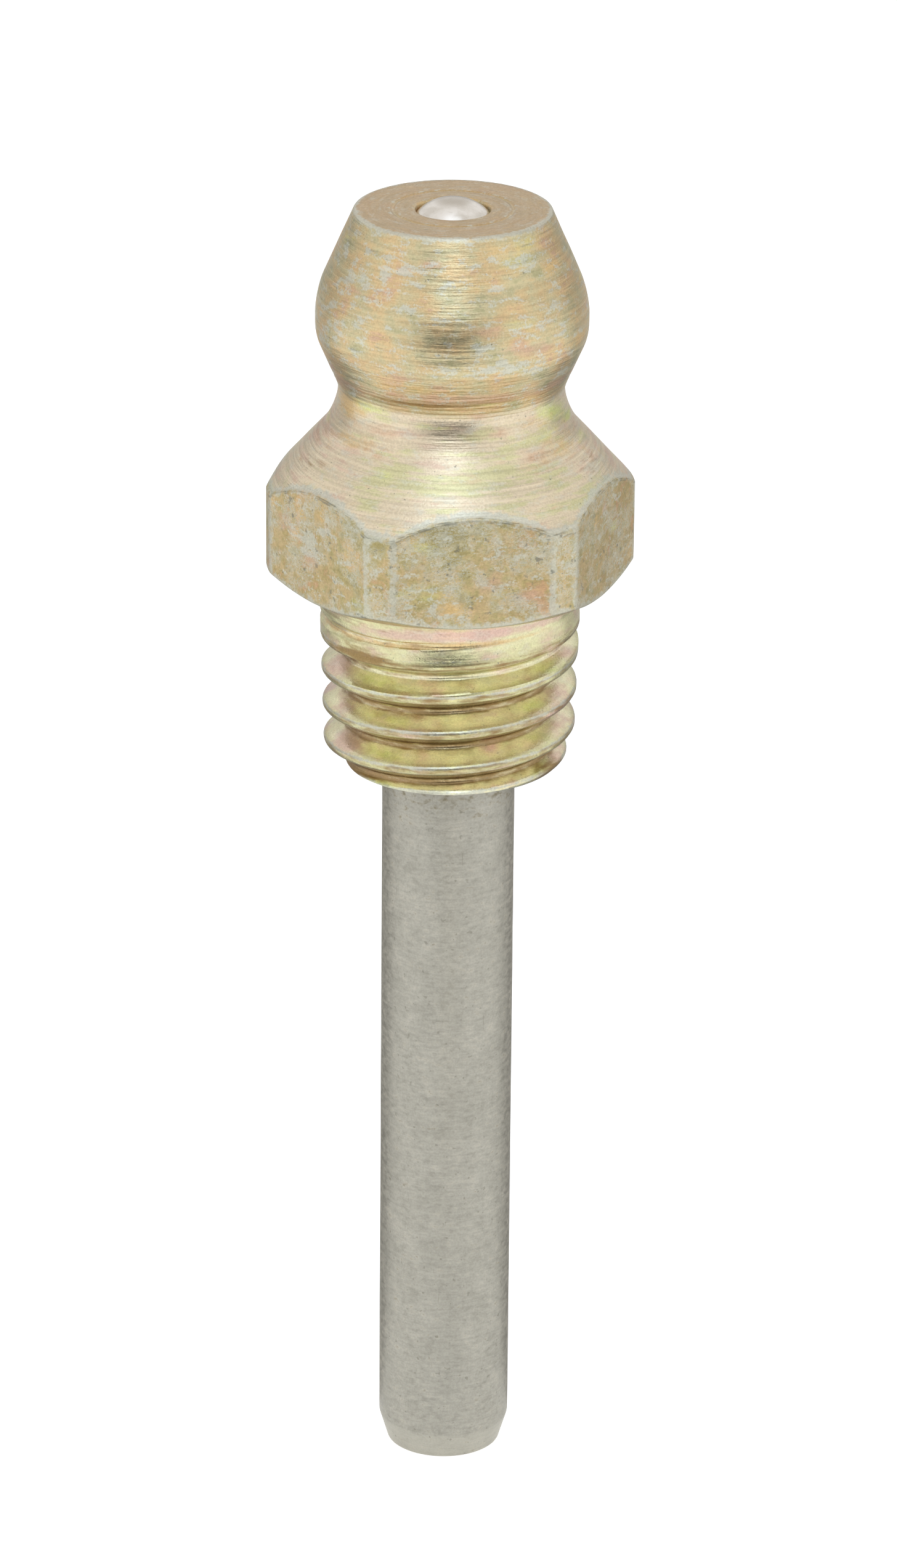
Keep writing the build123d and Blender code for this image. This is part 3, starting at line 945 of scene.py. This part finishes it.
    roughness = step(tree, thin, 0.35, 0.65, 0.28, 0.38)
    roughness = added(tree, roughness, flat, 0.12)
    roughness = added(tree, roughness, rolled, -0.04)
    roughness = added(tree, roughness, rubbed, 0.05)
    turned_relief = without(tree, thin, (flat, 1.0), (rolled, 1.0), (cone, 0.6))
    relief = weighed(
        tree, (soft_lines, 0.014), (turned_relief, 0.012), (grain, 0.004),
        (maths(tree, "MULTIPLY", spots, flat), 0.02),
    )
    finish_surface(tree, shader, colour, roughness, relief)
    return material


def tube_steel():
    """Drawn steel tube, dull grey with a warm cast."""
    material, tree, shader = bare_metal("tube_steel")
    place, run = millimetres(tree), painted(tree, "run")
    cloud = use(tree, "mottle", place=place, size=0.7, seed=4.0, detail=3.0)
    blotch = use(tree, "streaks", place=place, run=run, round=0.20, tall=0.12, seed=9.0, detail=5.0)
    grain = use(tree, "mottle", place=place, size=0.05, seed=6.0, detail=2.0)
    bands = use(tree, "streaks", place=place, run=run, round=0.6, tall=0.05, seed=2.0)
    mixed = weighed(tree, (cloud, 0.3), (blotch, 0.7))
    colour = colour_range(
        tree, mixed, (0.38, tint(156, 153, 142)), (0.47, tint(167, 164, 153)),
        (0.53, tint(171, 168, 157)), (0.62, tint(182, 178, 166)),
    )
    # painted shade at the top of the tube, under the body, in a brownish grey
    painted_shade_under_body = step(tree, added(tree, painted(tree, "dirt_and_painted_shade"), added(tree, -0.5, blotch, 1.0), 3.0), 0.3, 1.2)
    colour = layer_over(tree, maths(tree, "MULTIPLY", painted_shade_under_body, 0.95), colour, tint(128, 120, 98))
    fine = weighed(tree, (grain, 0.6), (bands, 0.4))
    colour = multiplied(tree, colour, step(tree, fine, 0.38, 0.62, 0.92, 1.05))
    chamfer = maths(tree, "MULTIPLY", painted(tree, "wear"), 0.3)
    colour = layer_over(tree, chamfer, colour, tint(196, 192, 178))
    nicks = step(tree, use(tree, "mottle", place=place, size=0.13, seed=14.0, detail=1.0), 0.70, 0.76)
    drawn = use(tree, "streaks", place=place, run=run, round=0.07, tall=0.9, seed=18.0, detail=2.0)
    nicks = maths(tree, "MAXIMUM", nicks, step(tree, drawn, 0.70, 0.80))
    colour = layer_over(tree, maths(tree, "MULTIPLY", nicks, 0.45), colour, tint(120, 117, 104))
    roughness = step(tree, blotch, 0.35, 0.65, 0.44, 0.56)
    finish_surface(tree, shader, colour, roughness, weighed(tree, (bands, 0.003), (blotch, 0.008)))
    return material


def ball_steel():
    """The check ball, satin from use."""
    material, tree, shader = bare_metal("ball_steel")
    place, run = millimetres(tree), painted(tree, "run")
    cloud = use(tree, "mottle", place=place, size=0.5, seed=3.0, detail=3.0)
    scuffs = use(tree, "streaks", place=place, run=run, round=0.3, tall=0.06, seed=8.0, detail=3.0)
    colour = colour_range(tree, cloud, (0.40, tint(206, 199, 189)), (0.60, tint(224, 218, 210)))
    # darker round the top of the ball, by height
    cap = step(tree, run, BALL_HIGH.z - 0.13, BALL_HIGH.z - 0.02, 0.0, 0.8)
    colour = layer_over(tree, cap, colour, tint(176, 167, 154))
    marks = step(tree, scuffs, 0.62, 0.75)
    colour = layer_over(tree, maths(tree, "MULTIPLY", marks, 0.5), colour, tint(168, 158, 140))
    roughness = step(tree, cloud, 0.35, 0.65, 0.20, 0.32)
    finish_surface(tree, shader, colour, roughness, maths(tree, "MULTIPLY", scuffs, 0.002))
    return material


def spring_steel():
    """Drawn spring wire."""
    material, tree, shader = bare_metal("spring_steel")
    place, run = millimetres(tree), painted(tree, "run")
    drawn = use(tree, "streaks", place=place, run=run, round=0.9, tall=0.03, seed=1.0)
    cloud = use(tree, "mottle", place=place, size=0.6, seed=5.0)
    colour = colour_range(tree, cloud, (0.38, tint(128, 126, 122)), (0.62, tint(158, 155, 148)))
    roughness = step(tree, drawn, 0.35, 0.65, 0.26, 0.40)
    finish_surface(tree, shader, colour, roughness, maths(tree, "MULTIPLY", drawn, 0.002))
    return material


# ---------------------------------------------------------------- camera, floor and light

def toward(round_degrees, up_degrees):
    """A direction from the part: round from the camera's side, to the right, and up."""
    turn, up = CAMERA_ROUND + radians(round_degrees), radians(up_degrees)
    return Vector((sin(turn) * cos(up), -cos(turn) * cos(up), sin(up)))


def add_camera():
    data = bpy.data.cameras.new("camera")
    data.sensor_width = SENSOR
    data.lens = SENSOR * CAMERA_FOCUS_PIXELS / PICTURE_HEIGHT
    data.shift_x = PICTURE_OFFSET / PICTURE_HEIGHT
    data.clip_start, data.clip_end = 0.01, 10
    camera = bpy.data.objects.new("camera", data)
    back = toward(0, degrees(CAMERA_DOWN))
    camera.location = CAMERA_AIM + CAMERA_DISTANCE * back
    look = back.to_track_quat("Z", "Y").to_matrix() @ Matrix.Rotation(CAMERA_ROLL, 3, "Z")
    camera.rotation_euler = look.to_euler()
    bpy.context.scene.collection.objects.link(camera)
    bpy.context.scene.camera = camera


def add_softbox(name, round_degrees, up_degrees, distance, width, height, brightness, colour):
    """A soft lamp that faces the part; its brightness adds to the white background's 1."""
    data = bpy.data.lights.new(name, "AREA")
    data.shape = "RECTANGLE"
    data.size, data.size_y = width * MM, height * MM
    data.energy = brightness * pi * data.size * data.size_y
    data.color = colour
    lamp = bpy.data.objects.new(name, data)
    way = toward(round_degrees, up_degrees)
    lamp.location = LAMP_AIM + distance * MM * way
    lamp.rotation_euler = way.to_track_quat("Z", "Y").to_euler()
    lamp.visible_camera = False
    bpy.context.scene.collection.objects.link(lamp)


def seen_white(tree, other):
    """1 where a ray comes from the camera or a reflection, and another value elsewhere."""
    rays = put(tree, "LightPath").outputs
    shown = maths(tree, "MAXIMUM", rays["Is Camera Ray"], rays["Is Glossy Ray"])
    shown = maths(tree, "MAXIMUM", shown, rays["Is Transmission Ray"])
    return put(tree, "Mix", {0: shown, 2: other, 3: 1.0}).outputs[0]


def add_world():
    world = bpy.data.worlds.new("white_room")
    bpy.context.scene.world = world
    world.use_nodes = True
    tree = world.node_tree
    background = tree.nodes["Background"]
    background.inputs["Color"].default_value = (1, 1, 1, 1)
    tree.links.new(seen_white(tree, ROOM_LIGHT), background.inputs["Strength"])


def add_floor():
    """A white floor under the end of the tube, with a faint contact shadow."""
    bm = bmesh.new()
    bmesh.ops.create_grid(
        bm, x_segments=1, y_segments=1, size=FLOOR_SIZE,
        matrix=Matrix.Translation((0, 0, TUBE_END)),
    )
    mesh = bpy.data.meshes.new("floor")
    bm.to_mesh(mesh)
    bm.free()
    mesh.transform(Matrix.Scale(MM, 4))
    material = bpy.data.materials.new("white_floor")
    material.use_nodes = True
    tree = material.node_tree
    shader = tree.nodes["Principled BSDF"]
    shader.inputs["Base Color"].default_value = (0.8, 0.8, 0.8, 1)
    shader.inputs["Roughness"].default_value = 0.9
    shader.inputs["Specular IOR Level"].default_value = 0.0
    shader.inputs["Emission Color"].default_value = (1, 1, 1, 1)
    glow = maths(tree, "MULTIPLY", seen_white(tree, 0.0), FLOOR_GLOW)
    tree.links.new(glow, shader.inputs["Emission Strength"])
    mesh.materials.append(material)
    floor = bpy.data.objects.new("floor", mesh)
    bpy.context.scene.collection.objects.link(floor)


def add_card(name, bm, brightness):
    """A card that only reflections show."""
    mesh = bpy.data.meshes.new(name)
    bm.to_mesh(mesh)
    bm.free()
    mesh.transform(Matrix.Scale(MM, 4))
    material = bpy.data.materials.new(name)
    material.use_nodes = True
    shader = material.node_tree.nodes["Principled BSDF"]
    shader.inputs["Base Color"].default_value = (0, 0, 0, 1)
    shader.inputs["Specular IOR Level"].default_value = 0.0
    shader.inputs["Emission Color"].default_value = (1, 0.98, 0.94, 1)
    shader.inputs["Emission Strength"].default_value = brightness
    mesh.materials.append(material)
    card = bpy.data.objects.new(name, mesh)
    card.visible_camera = card.visible_diffuse = card.visible_shadow = False
    card.visible_transmission = False
    bpy.context.scene.collection.objects.link(card)


def add_front_flag():
    """A card that stands on the floor before the part, as dark as the room behind a camera."""
    bm = bmesh.new()
    front, right = toward(FRONT_CARD_TURN, 0), toward(FRONT_CARD_TURN + 90, 0)
    low, high = Vector((0, 0, TUBE_END)), Vector((0, 0, CARD_TOP))
    side = right * FRONT_CARD_HALF
    bm.faces.new([
        bm.verts.new(front * FRONT_CARD_AWAY + corner)
        for corner in (low - side, low + side, high + side, high - side)
    ])
    add_card("front_flag", bm, FRONT_CARD_GLOW)


def add_back_flags():
    """Cards behind the part, one standing and two on the floor, that dim what its edges reflect."""
    for name, start, low, high, inner, outer, brightness in BACK_CARDS:
        bm = bmesh.new()
        edge = toward(start, 0)
        ends = [
            bm.verts.new(edge * inner + Vector((0, 0, low))),
            bm.verts.new(edge * outer + Vector((0, 0, high))),
        ]
        bm.edges.new(ends)
        bmesh.ops.spin(
            bm, geom=[*bm.verts, *bm.edges], cent=(0, 0, 0), axis=(0, 0, 1),
            angle=radians(360 - 2 * start), steps=24, use_merge=False,
        )
        add_card(name, bm, brightness)


def add_bounce_card():
    """A bright card on the floor before the part, which the thread's flanks reflect."""
    bm = bmesh.new()
    front, right = toward(BOUNCE_CARD_TURN, 0), toward(BOUNCE_CARD_TURN + 90, 0)
    level = Vector((0, 0, BOUNCE_CARD_LEVEL))
    (near_end, near_half), (far_end, far_half) = BOUNCE_CARD_ENDS
    bm.faces.new([bm.verts.new(level + corner) for corner in (
        front * near_end - right * near_half, front * near_end + right * near_half,
        front * far_end + right * far_half, front * far_end - right * far_half,
    )])
    add_card("bounce_card", bm, BOUNCE_CARD_GLOW)


def add_lights():
    for softbox in SOFTBOXES:
        add_softbox(*softbox)
    add_front_flag()
    add_back_flags()
    add_bounce_card()


nipple_body()
check_ball()
check_spring()
extension_tube()
add_camera()
add_world()
add_floor()
add_lights()
bpy.context.scene.view_settings.view_transform = "Standard"
